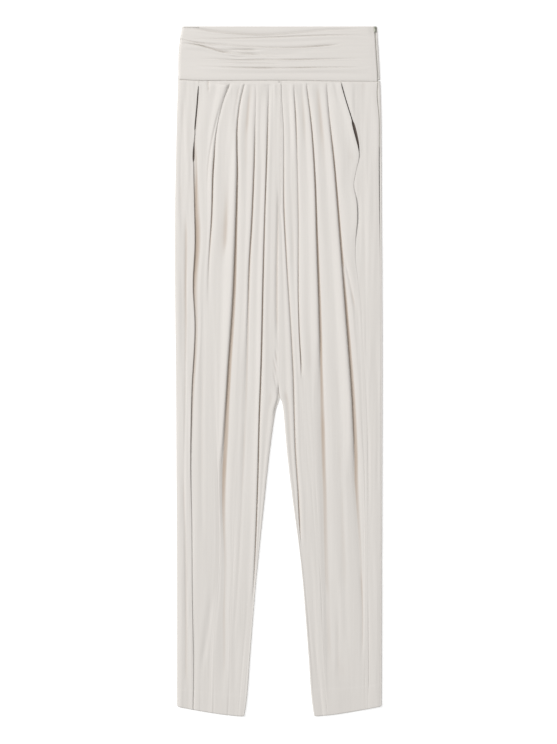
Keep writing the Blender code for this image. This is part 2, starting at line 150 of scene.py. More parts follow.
# The legs' lower corners across, and the radius of their rounding
HEM_CORNERS = (-167.5, -55.6, 58.4, 170.6)
CORNER = 3.6
# Turned-up hems: their depths, the step up onto them, and the dip along their blind stitches
LEFT_HEM = 36
RIGHT_HEM = 45
HEM_THICKER = 0.2
HEM_STEP = 3
STITCH_DIP = 0.12
STITCH_WIDTH = 1.8

# Waistband: how far down its upper edge lies, half the width that its stations span, and the
# share of the waves that it has
BAND_TOP = 1.2
BAND_HALF = 159.0
BAND_WRINKLES = 0.5
# Round its lower edge and its top: distance in from the edge, and drop below its level
BAND_HEM = ((0.0, 1.05), (0.5, 0.65), (1.5, 0.28), (3.2, 0.0))
BAND_TOP_ROUND = ((1.8, 0.0), (0.6, 0.15), (0.1, 0.6), (0.0, 1.2), (0.3, 2.0))
# Radii of its left edge and its upper left corner
BAND_SIDE_ROUND = 4.0
BAND_CORNER = 3.0
# Beside the zip it comes down to the edge's level, then rolls in: distances from the zip, and drop
BAND_COMES_DOWN = (12, 3)
BAND_ROLLS = 0.9
BAND_ROLL_DROP = 0.8
# Upright lines of points along the band's front
BAND_STATIONS = 180

# Centre seam: where it becomes a groove, the seam's rise above the fronts and its rise in the groove
GROOVE_SPAN = (300, 400)
CENTRE_RISE = 0.05
CENTRE_GROOVE_RISE = 0.3
# How far from the seam its columns lie, how far the left front goes under the right one, and the
# dips of left and right at each column, with what the groove adds
CENTRE_COLUMNS = (4.0, 2.0, 0.15, 0.0)
CENTRE_UNDER = 2.0
CENTRE_DIPS = {-1: (0.04, 0.18), 1: (0.0, 0.1)}
# Distances down between which the flat seam becomes the inseams' turned edges
CROTCH_SPAN = (585, 612)

# Outline and seams: (down, x)
LEFT_EDGE = (
    (0, -158.2), (15, -161.5), (36, -164.3), (88, -165.6), (139, -167.4), (205, -169), (287, -170.6),
    (617, -169), (947, -167.5), (1138, -167.5),
)
RIGHT_EDGE = ((0, 162.6), (12, 163.4), (40, 165.4), (106, 168.6), (287, 170.6), (1138, 170.6))
INNER_EDGE = (
    (601, 0.15), (614, 0.3), (617, 1.5), (622, 3), (628, 4.9), (638, 6.7), (650, 8.2), (716, 15.5),
    (782, 23), (848, 31), (914, 38), (980, 43.5), (1046, 48.5), (1112, 53.5), (1138, 57),
)
# The middle between the legs, off the centre seam
INNER_SHIFT = (
    (590, 0), (601, 0.3), (616, 2.6), (622, 3), (628, 2.3), (640, 1.7), (900, 1.6), (1138, 1.4),
)
LEFT_POCKET_SEAM = (
    (89, -131), (130, -134), (175, -138), (225, -140), (290, -139), (360, -138), (430, -141),
    (490, -138), (600, -143), (725, -145), (820, -143), (950, -142), (1070, -140), (1138, -141),
)
RIGHT_POCKET_SEAM = (
    (89, 101.5), (124, 111.5), (163, 123.5), (180, 127.8), (196, 131.4), (213, 133), (241, 127.5),
    (266, 124), (284, 128), (317, 130), (353, 127), (381, 126.5), (420, 131), (475, 137), (525, 140),
    (585, 143), (645, 145.5), (740, 147), (830, 147.5), (960, 147.5), (1090, 148), (1138, 148),
)
ZIP_SEAM = (
    (0, 159.3), (18, 160), (53, 162), (91, 164), (110, 163), (150, 166), (225, 166.3),
    (360, 167.3), (1138, 167.3),
)
BAND_BOTTOM = (
    (-166, 88.0), (-130, 90.2), (-83, 90.2), (-47, 90.1), (0, 90.0), (44, 90.4), (85, 91.2),
    (139, 91.7), (165, 92.0),
)
# Pocket mouths: where each starts, is fully open, begins to close and ends, and its width
LEFT_MOUTHS = ((90, 114, 167, 177, 1.9), (178, 214, 219, 228, 3.0))
RIGHT_MOUTHS = ((90, 104, 190, 216, 1.7), (154, 165, 170, 222, 3.4))
# Along the pocket seams, (distances down) and, there, (level of the left panel's lip)
LEFT_LIP = (
    (89, 110, 220, 330, 560, 700, 760, 900, 1138), (5.0, 5.4, 5.6, 6.0, 5.8, 5.6, 5.2, 4.9, 4.7)
)
# (Depth of the left front's valley beside it) and (width of the valley)
LEFT_VALLEY = (
    (89, 110, 220, 280, 330, 560, 620, 700, 760, 900, 1138),
    (0.2, 0.9, 1.1, 1.6, 2.1, 2.1, 1.8, 1.2, 0.8, 0.4, 0.3),
)
LEFT_VALLEY_WIDTH = (
    (89, 220, 280, 330, 420, 500, 620, 720, 800, 1138),
    (6.0, 8.0, 12.0, 14.0, 12.0, 9.0, 7.0, 5.0, 4.0, 4.0),
)
# (Rise of the right front's lip) and (how much lower the side panel beside it lies)
RIGHT_LIP = (
    (89, 110, 160, 185, 205, 222, 240, 262, 290, 330, 360, 400, 450, 860, 960, 1138),
    (1.0, 2.0, 2.8, 2.8, 2.2, 0.8, 0.4, 0.5, 1.7, 1.5, 0.5, 0.3, 0.3, 0.3, 0.3, 0.3),
)
RIGHT_VALLEY = (
    (89, 230, 270, 300, 325, 360, 400, 1138), (0.0, 0.0, 0.3, 1.3, 1.2, 0.1, -0.3, -0.3)
)
# Left front in the valley: share of the width out from the seam, share of the depth
VALLEY_SHAPE = ((0.3, 0.85), (0.65, 0.35), (1.0, 0.0))
# Its deepest place, past the seam, and how much lower still it goes on under the side panel
VALLEY_START = 0.4
VALLEY_UNDER = 0.2
# For the shade in the valley, the left panel's lip counts as this much lower than it is
LIP_SHADE = 1.6
# Round the lips: distance in from the seam, and drop (left) or share of the fall (right)
LEFT_LIP_ROUND = ((2.2, 0.0), (0.8, 0.05), (0.15, 0.4), (0.0, 0.8))
RIGHT_LIP_ROUND = ((3.0, 0.0), (1.0, 0.0), (0.25, 0.4), (0.0, 1.0))
# The right lip's fall: along the seam, more above the first span and within the second
LIP_FALL = 0.06
LIP_FALL_ABOVE = (0.2, (380, 430))
LIP_FALL_WITHIN = (0.5, (264, 286, 322, 350))
# The right lip starts this far in, less below the span, at a share of its height
LIP_REACH = 9.0
LIP_REACH_LESS = (4.5, (380, 440))
LIP_START = 0.55
# Across the left side panel: (share of the way to the seam, level) of its crown, then the foot of
# the lip as (distance in from the seam, share of the lip's rise)
LEFT_CROWN = (0.4, 4.9)
LIP_FOOT = (7, 0.5)
# Across the right side panel: under the front, then (distance, level, share of the valley) from
# the seam, then (share of the way to the zip, level)
RIGHT_UNDER_LEVEL = 3.75
RIGHT_RISES = ((0.3, 3.9, 1.0), (3.0, 4.2, 0.5))
RIGHT_CROWN = ((0.35, 4.6), (0.7, 4.8))

# Zip: half the gap between its edges, what the coil adds down to a span and what the slider adds
ZIP_GAP = 0.05
COIL_GAP = (0.35, (250, 420))
SLIDER_GAP = (0.4, (11, 18))
# The cloth's rise over the coil, and where it starts, is full, fades and ends
COIL_RISE = 0.5
COIL_SPAN = (14, 24, 205, 235)
# How far the edges turn down, what they turn down more above a span, and their round: distance in
# from the zip and share of the dip
ZIP_DIP = 0.1
ZIP_DIP_ABOVE = (0.9, (260, 400))
ZIP_EDGE = ((2.4, 0.0), (0.7, 0.15), (0.0, 1.0))
# The same on the back's side of the zip, as shares of the way from the edge
FAR_EDGE = ((0.6, 0.0), (0.9, 0.15), (1.0, 1.0))


class Fold(NamedTuple):
    """A fold of the cloth over itself: the layer before its line ends in a lip over a groove.

    The path has (distance, place) points along the fold. The shape has rows of distance, depth of
    the groove, width over which the cloth turns down into it, and width over which it comes out.
    """

    path: tuple
    shape: tuple


LEFT_FOLDS = (
    Fold(
        ((96, -80), (119, -89), (152, -98), (223, -107), (317, -110.4), (404, -115), (600, -112),
         (930, -108), (1013, -119), (1138, -123)),
        ((88, 0, 1, 1.5), (94, 1.2, 0.8, 1.5), (107, 1.2, 0.8, 1.5), (125, 1.0, 0.7, 1.5),
         (150, 1.0, 0.7, 1.5), (171, 1.2, 0.7, 1.6), (200, 1.9, 0.7, 2.2), (221, 3.3, 0.6, 3),
         (260, 3.6, 0.6, 3),
         (320, 2.9, 0.8, 3.5), (380, 1.4, 1.5, 4), (420, 0.7, 2.5, 5), (470, 0, 4, 6)),
    ),
    Fold(
        ((97, -56), (125, -63), (152, -67), (246, -68.5), (317, -70.5), (452, -75.5), (569, -83),
         (643, -87), (749, -91), (800, -91.5), (830, -90.5), (878, -88), (927, -88.5), (975, -90),
         (1138, -92)),
        ((87, 0, 0.8, 2), (94, 0.9, 0.8, 2), (104, 1.0, 0.8, 2), (140, 1.7, 0.7, 2.5), (180, 3.3, 0.6, 3),
         (221, 3.9, 0.6, 3), (320, 4.3, 0.6, 7), (452, 4.3, 1.0, 11), (617, 4.3, 2, 12), (683, 3.8, 4, 14),
         (749, 2.3, 9, 16), (881, 0.6, 12, 17), (1030, 0.5, 13, 17), (1096, 0.3, 13, 16),
         (1125, 0, 13, 13)),
    ),
    Fold(
        ((119, -37), (191, -39), (317, -44), (404, -48.6), (464, -50), (600, -53.5), (800, -61),
         (914, -66), (1025, -70), (1138, -75)),
        ((92, 0, 1, 2), (110, 0.3, 1, 2), (140, 0.5, 0.8, 2), (165, 0.9, 0.7, 2), (190, 1.8, 0.6, 2.5),
         (221, 2.5, 0.6, 3), (320, 3.2, 0.7, 4), (452, 2.0, 1.5, 5), (520, 1.5, 3, 6),
         (617, 1.0, 6, 8), (700, 0.5, 6, 8), (780, 0, 6, 8)),
    ),
    Fold(
        ((114, -16), (200, -19), (287, -22), (429, -26), (558, -29), (643, -32), (749, -34.4),
         (815, -36.5), (881, -39), (925, -41.2), (965, -45), (1025, -52), (1138, -63)),
        ((92, 0, 1, 3), (138, 1.2, 0.8, 2.5), (221, 2.9, 0.6, 3), (320, 2.7, 0.6, 3), (452, 3.6, 0.6, 3.5),
         (617, 3.8, 0.6, 3.5), (749, 3.1, 0.6, 2.8), (881, 1.9, 0.7, 2.2), (920, 1.0, 0.8, 2.2),
         (945, 0.3, 1, 2.5), (965, 0, 1, 2.5)),
    ),
)
RIGHT_FOLDS = (
    Fold(
        ((104, 5), (157, 8), (317, 9.5), (381, 13), (475, 19), (569, 24), (643, 26), (701, 28),
         (761, 32), (838, 36), (914, 46), (1046, 59), (1138, 67)),
        ((92, 0, 1, 3), (138, 0.8, 0.8, 2.5), (221, 1.3, 1, 3.5), (320, 2.2, 1, 4), (452, 1.6, 1.2, 4),
         (530, 1.8, 1, 4), (617, 2.0, 1, 4), (749, 2.0, 1.4, 4.5), (828, 2.0, 1, 3), (856, 0, 1, 3)),
    ),
    Fold(
        ((107, 26), (175, 29.5), (317, 33), (452, 33), (500, 34), (558, 37), (700, 46),
         (800, 54), (914, 63), (1046, 69), (1138, 77)),
        ((92, 0, 1, 3), (138, 2.0, 0.8, 3), (221, 1.4, 1.6, 4), (320, 1.4, 1.6, 4), (452, 2.0, 1, 3),
         (520, 2.6, 0.7, 2.5), (560, 2.2, 0.7, 2.5), (580, 0, 1, 3)),
    ),
    Fold(
        ((102, 47), (152, 53), (246, 59.5), (346, 62.6), (475, 67), (569, 70.5), (617, 72.5),
         (749, 74.5), (881, 77), (1030, 81), (1091, 82), (1138, 85)),
        ((88, 0, 1, 2), (104, 1.2, 0.8, 2), (138, 2.1, 0.7, 2.5), (221, 3.6, 0.6, 3), (320, 4.3, 0.6, 5),
         (452, 3.8, 0.8, 9), (518, 3.4, 1.6, 9), (560, 2.6, 5, 8), (617, 1.9, 12, 9), (749, 1.3, 15, 12),
         (881, 0.7, 14, 15), (1030, 0.6, 13, 16), (1096, 0.4, 13, 16), (1128, 0, 13, 12)),
    ),
    Fold(
        ((102, 80), (152, 84), (221, 91), (320, 99), (386, 104), (464, 110), (582, 119),
         (643, 123), (700, 126), (749, 128), (784, 130), (832, 133), (893, 137), (975, 138), (1138, 138)),
        ((88, 0, 1, 2), (104, 0.8, 0.8, 2), (138, 1.4, 0.8, 2.5), (221, 3.5, 0.7, 4), (320, 3.8, 0.7, 6),
         (452, 4.3, 0.8, 9), (617, 4.3, 1.2, 12), (683, 3.6, 3, 12), (749, 2.2, 9, 13), (881, 0.9, 9, 13),
         (975, 0.5, 9, 12), (1030, 0, 9, 10)),
    ),
)
# Along the waistband: (x, down) points, and x, depth, width above the line and width below it
BAND_FOLDS = (
    Fold(
        ((-145, 5.2), (-128, 6.2), (-117, 8), (-93, 11.6), (-58, 14.6), (-22, 15.8), (6, 14.4),
         (43, 11.2), (78, 7.6), (114, 6)),
        ((-150, 0, 3, 2), (-130, 1.2, 3, 1.5), (-93, 1.4, 4, 1.2), (-50, 1.8, 5, 1), (0, 1.5, 5, 1),
         (43, 1.3, 5, 1.4), (78, 1.1, 4, 1.6), (114, 0.8, 3, 1.6), (140, 0, 2.5, 2)),
    ),
    Fold(
        ((-128, 22), (-90, 22), (-47, 20.9), (-6, 19.4), (34, 17.9), (75, 16.4), (118, 16.2), (150, 17.4)),
        ((-150, 0, 2, 0.8), (-118, 0.6, 2, 0.8), (-90, 0.9, 2, 0.8), (-6, 1.3, 2.2, 0.7),
         (34, 1.5, 2.6, 0.7), (75, 1.4, 2.2, 0.7), (118, 0.7, 2, 0.9), (150, 0, 2, 1)),
    ),
    Fold(
        ((-158, 21.4), (-140, 26.4), (-128, 28.9), (-113, 30.4), (-90, 31.4), (-62, 34.4),
         (-29, 35.9), (4, 36.8), (36, 36.4), (77, 33.4), (100, 31.4)),
        ((-160, 0, 2, 1), (-140, 1.2, 3, 1), (-128, 1.7, 3, 1), (-108, 1.4, 3, 1), (-85, 1.0, 3, 1),
         (-47, 1.2, 3, 0.8), (0, 1.4, 3, 0.8), (36, 1.7, 3, 0.7), (77, 1.9, 2.5, 0.7), (105, 0, 2, 1)),
    ),
    Fold(
        ((-145, 29.4), (-128, 31.8), (-108, 37.4), (-90, 42.9), (-62, 46.4), (-30, 46.9),
         (0, 48.4), (60, 47.4)),
        ((-158, 0, 2, 1), (-140, 1.5, 2.4, 1.2), (-128, 2.6, 3, 1.2), (-108, 2.4, 3.5, 1.2),
         (-85, 2.0, 4.5, 1.4), (-50, 1.5, 6, 2), (-14, 0.9, 6, 2), (25, 0, 5, 2)),
    ),
    Fold(
        ((-101, 55.4), (-60, 57), (-29, 56.6), (34, 56.4), (85, 55.4), (133, 54.7)),
        ((-125, 0, 2, 0.8), (-88, 0.9, 2, 0.8), (-50, 1.6, 2.4, 0.7), (-6, 1.4, 3, 0.7),
         (36, 1.8, 2.6, 0.6), (77, 1.2, 2.4, 0.8), (118, 0.5, 2, 1), (140, 0, 2, 1)),
    ),
    Fold(
        ((-80, 61.4), (-47, 62.2), (-14, 63), (20, 64.4)),
        ((-95, 0, 1.6, 0.8), (-70, 0.7, 1.6, 0.8), (-30, 0.8, 1.8, 0.9), (-10, 0.7, 2, 1), (8, 0, 2, 1)),
    ),
    Fold(
        ((-129, 66.9), (-88, 68.6), (-37, 70), (1, 70.2), (75, 69.1), (133, 68.9)),
        ((-135, 0, 2, 0.8), (-88, 0.8, 2, 0.8), (-50, 1.7, 2.4, 0.7), (-14, 1.9, 2.6, 0.8),
         (0, 1.2, 2.4, 0.8), (36, 1.9, 2.4, 0.6), (77, 1.1, 2, 0.8), (118, 0.7, 2, 0.9), (145, 0, 2, 1)),
    ),
)

# How far a fold's lip comes to hang over the groove
OVERHANG = 0.8
# Depths of a groove between which its lip comes to hang over it, and the lip's rise as a share of depth
LEG_LIP = (1.5, 4.0, 0.2)
BAND_LIP = (0.2, 1.2, 0.05)
# Into the groove: share of the way, share of the overhang; then shares of the way out of it
LIP_SHAPE = ((0.0, 1.0), (0.3, 1.0), (0.55, 0.9), (0.8, 0.1), (1.0, -0.3))
RISE_SHAPE = (0.22, 0.45, 0.7, 1.0)
# Mesh steps to the halfway column, to the lip, through the lip's shape and out of the groove
FOLD_STEPS = (HALF_STEPS, HALF_STEPS, 2, 2, 2, 2, 1, 2, 2, 2)
# Widths between which a fold stops being a crisp lip and becomes a soft hollow
CRISP_WIDTH = 1.0
SOFT_WIDTH = 6.0
# A groove goes no lower than this
LOWEST = 1.85
# A fold's widths stay within this share of the way to the next fold, or past the last fold to the
# panel's end; lines that meet still have the least room
NEIGHBOUR_SHARE = 0.42
END_SHARE = 0.8
LEAST_ROOM = 0.5


# A crease fades over this share of its length at each end, and over this distance at most
CREASE_END_SHARE = 0.35
CREASE_END = 50.0


class Crease(NamedTuple):
    """A soft trough along a path of (down, x) points, or of (x, down) points on the waistband."""

    depth: float
    width: float
    path: tuple


LEFT_CREASES = (
    Crease(1.5, 1.4, (
        (116, -91), (127, -94.5), (155, -101.8), (183, -108), (221, -114.3), (280, -117.5),
    )),
    Crease(1.5, 4.2, ((118, -69), (163, -73), (221, -77.5), (257, -80), (320, -84), (400, -88))),
    Crease(1.5, 1.1, ((86, -115.5), (100, -115.5), (112, -114.5))),
    Crease(1.4, 1.3, ((90, -61.5), (110, -66), (140, -70.3), (168, -72.5))),
    Crease(0.9, 4.5, ((920, -107), (1013, -119), (1045, -124), (1075, -127))),
    Crease(1.7, 2.6, ((255, 0.8), (320, -0.6), (370, -2), (470, -2.6), (530, -1.5))),
    Crease(2.2, 2.4, ((580, 1), (604, 0.8), (617, -0.8), (630, -4.6), (655, -9))),
    Crease(0.8, 1.4, (
        (190, -137), (212, -136.2), (222, -134.8), (240, -134.4), (270, -135.2), (320, -136),
    )),
    Crease(0.5, 2.0, ((96, -28), (150, -30), (230, -32))),
    Crease(0.5, 2.0, ((96, -47), (140, -50), (190, -53))),
    Crease(1.0, 1.3, ((530, -5.5), (545, -3.5), (562, -1))),
    Crease(1.0, 1.3, ((545, -9), (562, -5.5), (580, -2))),
    Crease(0.9, 1.3, ((566, -9), (582, -6), (598, -3))),
    Crease(0.5, 3.0, ((640, -55), (780, -60), (900, -66), (1020, -74))),
    Crease(0.8, 9.0, ((700, -89), (749, -90), (881, -87), (960, -88), (1100, -89))),
    Crease(0.7, 6.0, ((980, -70), (1030, -71), (1120, -72))),
    Crease(0.5, 4.0, ((430, -122), (560, -125), (700, -127), (860, -124))),
)
RIGHT_CREASES = (
    Crease(1.3, 2.2, ((370, 105), (409, 115), (447, 122), (480, 128))),
    Crease(0.6, 3.0, ((960, 98), (1010, 98), (1095, 98))),
    Crease(0.3, 2.0, ((96, 64), (140, 68), (200, 72))),
    Crease(0.5, 2.0, ((96, 16), (150, 18), (230, 20))),
    Crease(0.6, 5.0, ((740, 104), (860, 107), (960, 111), (1040, 113))),
    Crease(0.8, 9.0, ((620, 74), (749, 77), (881, 80), (960, 83), (1070, 86))),
    Crease(0.8, 7.0, ((900, 92), (970, 98), (1040, 104), (1110, 107))),
    Crease(0.7, 2.6, ((880, 134), (960, 139), (1060, 137))),
)
LEFT_SIDE_CREASES = (
    Crease(0.9, 2.2, (
        (300, -152.6), (420, -152.8), (617, -153.6), (749, -155.5), (881, -153.2), (1110, -152.6),
    )),
    Crease(0.6, 2.2, ((96, -154), (150, -158), (230, -161), (330, -163))),
    Crease(0.25, 1.4, ((560, -148), (760, -149.5), (960, -148.5))),
)
RIGHT_SIDE_CREASES = (
    Crease(0.35, 1.5, ((96, 126), (130, 126), (160, 127))),
    Crease(0.35, 2.0, ((300, 142), (460, 144), (560, 145))),
    Crease(0.45, 2.0, ((640, 148), (740, 149), (810, 149))),
    Crease(0.5, 1.8, ((920, 146), (1000, 148), (1125, 148))),
)
BAND_CREASES = (
    Crease(0.8, 1.5, ((-152, 26.5), (-140, 28.5), (-128, 30.2), (-113, 33), (-98, 36))),
    Crease(1.1, 2.6, ((-114, 41.6), (-88, 41), (-50, 40), (-20, 40.4))),
    Crease(0.9, 1.1, ((-84, 39.8), (-65, 40), (-46, 39.8), (-28, 41))),
    Crease(1.0, 2.2, (
        (-98, 42.2), (-78, 43.4), (-62, 44.9), (-46, 46), (-34, 48), (-22, 50.6), (-6, 52.3),
        (14, 52.6),
    )),
    Crease(0.7, 1.6, ((-84, 49.4), (-68, 52.2), (-52, 52.7))),
    Crease(0.9, 4.4, ((-50, 42), (-30, 43.4), (-6, 45.4), (20, 46.4), (56, 45))),
)


def smooth(value, start, end):
    """0 at and before start, 1 from end on, an S-curve between."""
    share = np.clip((np.asarray(value, float) - start) / (end - start), 0, 1)
    return share * share * (3 - 2 * share)


def rise_and_fall(value, start, full, fades, end):
    """0 outside start and end, 1 between full and fades."""
    return smooth(value, start, full) * (1 - smooth(value, fades, end))


def follow(path, at):
    """Values of a line of (place, value) points at an array of places, curved through the points."""
    places, values = np.array(path, float).T
    slopes = np.gradient(values, places)
    at = np.clip(at, places[0], places[-1])
    i = np.clip(np.searchsorted(places, at, "right") - 1, 0, len(places) - 2)
    span = places[i + 1] - places[i]
    t = (at - places[i]) / span
    return (
        (2 * t**3 - 3 * t**2 + 1) * values[i]
        + (t**3 - 2 * t**2 + t) * span * slopes[i]
        + (3 * t**2 - 2 * t**3) * values[i + 1]
        + (t**3 - t**2) * span * slopes[i + 1]
    )


def patches(across, along, width, length, seed):
    """Smooth random values from -1 to 1, in patches of the given size in millimetres."""
    table = np.random.default_rng(seed).uniform(-1, 1, (64, 64))
    u = across / width + 512.0
    v = along / length + 512.0
    i, j = np.floor(u).astype(int), np.floor(v).astype(int)
    fu, fv = smooth(u - i, 0, 1), smooth(v - j, 0, 1)
    i, j = i % 64, j % 64
    i1, j1 = (i + 1) % 64, (j + 1) % 64
    upper = table[i, j] * (1 - fu) + table[i1, j] * fu
    lower = table[i, j1] * (1 - fu) + table[i1, j1] * fu
    return upper * (1 - fv) + lower * fv


# Unevenness of the cloth: height, width and length of its soft waves
WAVES = ((0.45, 17, 170), (0.24, 7.5, 95), (0.12, 3.8, 60))
# Shares of the waves that the side panels have, and depth, width and length of the backs' dents
LEFT_SIDE_WAVES = 1.8
RIGHT_SIDE_WAVES = 1.3
DENTS = ((0.35, 22, 160), (0.1, 6, 80))
# What the fronts have more of their waves below the band, and how far down that fades
MORE_WAVES = (1.3, 55)
# Along the band the waves are looked up on a finer scale, from another place of the pattern
BAND_WAVE_SCALE = 1.4
BAND_WAVE_PLACE = 40
# What tells the pieces' random patterns apart
SEEDS = {
    "front_left": 10, "front_right": 20, "side_left": 30, "side_right": 40, "back_left": 50,
    "back_right": 60, "band_front": 70, "band_back": 80, "gathers": 90,
}


def wrinkles(across, along, seed):
    """The cloth's waves, of all sizes together."""
    return sum(
        height * patches(across, along, width, length, seed + number)
        for number, (height, width, length) in enumerate(WAVES)
    )


def creased(across, along, creases):
    """How far the listed creases lower the cloth at each point."""
    total = np.zeros_like(across)
    for crease in creases:
        places = [point[0] for point in crease.path]
        ends = min(CREASE_END_SHARE * (places[-1] - places[0]), CREASE_END)
        line = follow(crease.path, along)
        strength = rise_and_fall(along, places[0], places[0] + ends, places[-1] - ends, places[-1])
        total += crease.depth * strength * np.exp(-(((across - line) / crease.width) ** 2))
    return total


def hem(x):
    """How far down the hem lies at x, rounded at each leg's corners."""
    share = np.clip((np.abs(x) - HEM_LOWEST_AT) / (HEM_OUTER_AT - HEM_LOWEST_AT), 0, 1.1)
    away = np.min([np.abs(x - corner) for corner in HEM_CORNERS], axis=0)
    rounded = CORNER * (1 - quarter_round(away / CORNER))
    return LENGTH - HEM_RISE * share**HEM_CURVE - rounded


def inner_edge(down, side):
    """The centre seam down to the crotch, then the inseam's edge. side is -1 left, 1 right."""
    return follow(INNER_SHIFT, down) + side * np.maximum(follow(INNER_EDGE, down), 0.0)


def gape(mouths, down):
    """Half the distance between the two edges of a pocket's mouth."""
    return sum(width / 2 * rise_and_fall(down, *span) for *span, width in mouths)


def tucked(mouths, down):
    """How far the lower panel goes on under the upper one, except where the mouth is open."""
    return TUCK * (1 - smooth(gape(mouths, down), *TUCK_ENDS))


def curve_through(columns, steps):
    """Points on a smooth curve through each station's points, given as (x, level) column arrays."""
    points = np.stack([np.stack(np.broadcast_arrays(x, z), -1) for x, z in columns], 1).astype(float)
    chord = np.maximum(np.linalg.norm(np.diff(points, axis=1), axis=2), 1e-4)[..., None]
    slope = np.diff(points, axis=1) / chord
    inner = (slope[:, :-1] * chord[:, 1:] + slope[:, 1:] * chord[:, :-1]) / (chord[:, :-1] + chord[:, 1:])
    tangent = np.concatenate([slope[:, :1], inner, slope[:, -1:]], 1)
    made = []
    for k, count in enumerate(steps):
        for step in range(count):
            t = step / count
            made.append(
                (2 * t**3 - 3 * t**2 + 1) * points[:, k]
                + (t**3 - 2 * t**2 + t) * chord[:, k] * tangent[:, k]
                + (3 * t**2 - 2 * t**3) * points[:, k + 1]
                + (t**3 - t**2) * chord[:, k] * tangent[:, k + 1]
            )
    made.append(points[:, -1])
    made = np.stack(made, 1)
    return made[..., 0], made[..., 1]


def rolled_edge(edge, level, low, side, width):
    """Columns that end a panel turned down at its edge."""
    radius = level - low - EDGE_DROP
    turned = [
        (edge - side * width * (1 - math.sin(angle)), level - radius * (1 - math.cos(angle)))
        for angle in map(math.radians, TURN_ANGLES)
    ]
    return turned + [(edge, low + 0 * edge)]


def blend_columns(flat, turned, share):
    """Columns that change from the flat ones to the turned ones."""
    return [(a + (c - a) * share, b + (d - b) * share) for (a, b), (c, d) in zip(flat, turned)]


def folds_across(folds, along, first, last, base, lip_kind):
    """Columns of every fold that a station crosses, with a column halfway between folds, and steps."""
    hangs_from, hangs_full, lifted = lip_kind
    lines = [first + 0 * along] + [follow(fold.path, along) for fold in folds] + [last + 0 * along]
    columns = []
    steps = []
    for number, fold in enumerate(folds, 1):
        line = lines[number]
        room_before = np.maximum(line - lines[number - 1], LEAST_ROOM) * NEIGHBOUR_SHARE
        share_after = NEIGHBOUR_SHARE if number < len(folds) else END_SHARE
        room_after = np.maximum(lines[number + 1] - line, LEAST_ROOM) * share_after
        distance, deep, before, after = (np.array(column, float) for column in zip(*fold.shape))
        deep = np.maximum(follow(tuple(zip(distance, deep)), along), 0)
        before = np.minimum(np.interp(along, distance, before), room_before)
        after = np.minimum(np.interp(along, distance, after), room_after)
        crisp = 1 - smooth(before, CRISP_WIDTH, SOFT_WIDTH)
        lift = np.maximum(lifted * deep * crisp, deep - base + LOWEST)
        hangs = np.minimum(OVERHANG * smooth(deep, hangs_from, hangs_full) * crisp, room_before)
        top, bottom = base + lift, base + lift - deep
        lip = [
            (line - before * (1 - share) + hangs * (over - 1), top - deep * smooth(share, 0, 1))
            for share, over in LIP_SHAPE
        ]
        rise = [
            (line + after * share, bottom + (deep - lift) * smooth(share, 0, 1)) for share in RISE_SHAPE
        ]
        start = columns[-1] if columns else (lines[0], base + 0 * along)
        columns += [halfway(start, lip[0]), *lip, *rise]
        steps += FOLD_STEPS
    return columns, steps


def halfway(before, after):
    """The column between two folds, where the cloth has begun to rise."""
    return (before[0] + after[0]) / 2, before[1] + (after[1] - before[1]) * MID_RISE


def long_rows():
    """Distances down of the long panels' rows: closer together at waistband, crotch and hem."""
    rows = [BAND_SEAM - UNDER_BAND]
    for end, count in ROW_STRETCHES:
        rows += np.linspace(rows[-1], end, count)[1:].tolist()
    return np.array(rows)


def strip_end(x):
    """How far below the waistband the smooth strip under it reaches, narrowing to the right."""
    return STRIP + STRIP_MORE * (1 - smooth(x, *STRIP_NARROWS))


def leave_band(x, down, level):
    """A front comes out from under the waistband, rises over its seam allowance and then settles."""
    below = down - follow(BAND_BOTTOM, x)
    end = strip_end(x)
    strip = smooth(below, COMES_UP, end + RIDGE_PAST_STRIP)
    settled = RIDGE_LEVEL + (FRONT_LEVEL - RIDGE_LEVEL) * smooth(below, end, end + SETTLE)
    height, width, length, reach = GATHERS
    fading = np.exp(-np.maximum(below, 0) / reach)
    gathers = height * patches(x, down, width, length, SEEDS["gathers"]) * fading
    detail = (level - FRONT_LEVEL + gathers) * smooth(below, PLEATS_FROM * end, end + PLEATS_FULL)
    return UNDER_LEVEL + (settled - UNDER_LEVEL) * strip + detail


def side_leaves_band(x, down, level):
    """A side panel comes up to its own level below the waistband."""
    below = down - follow(BAND_BOTTOM, x)
    return UNDER_LEVEL + (level - UNDER_LEVEL) * smooth(below, COMES_UP, SIDE_IS_UP)


def hem_step(down, depth):
    """The turned-up hem makes the cloth thicker below its row of blind stitches."""
    line = LENGTH - depth
    stitches = STITCH_DIP * np.exp(-(((down - line) / STITCH_WIDTH) ** 2))
    return HEM_THICKER * smooth(down, line - HEM_STEP, line + HEM_STEP) - stitches


def centre_columns(down, side):
    """Columns of a front at the centre seam, and further down at the inseam's turned edge."""
    inner = inner_edge(down, side)
    groove = smooth(down, *GROOVE_SPAN)
    seam_level = FRONT_LEVEL + CENTRE_RISE + CENTRE_GROOVE_RISE * groove
    turned = rolled_edge(inner, seam_level, EDGE_BOTTOM, -side, INSEAM_ROUND)
    dip, groove_dip = CENTRE_DIPS[side]
    under = CENTRE_UNDER if side < 0 else 0.0
    flat = [
        (inner + side * away + under * (step / 3), seam_level - (dip + groove_dip * groove) * step)
        for step, away in enumerate(CENTRE_COLUMNS)
    ]
    return inner, blend_columns(flat, turned, smooth(down, *CROTCH_SPAN))


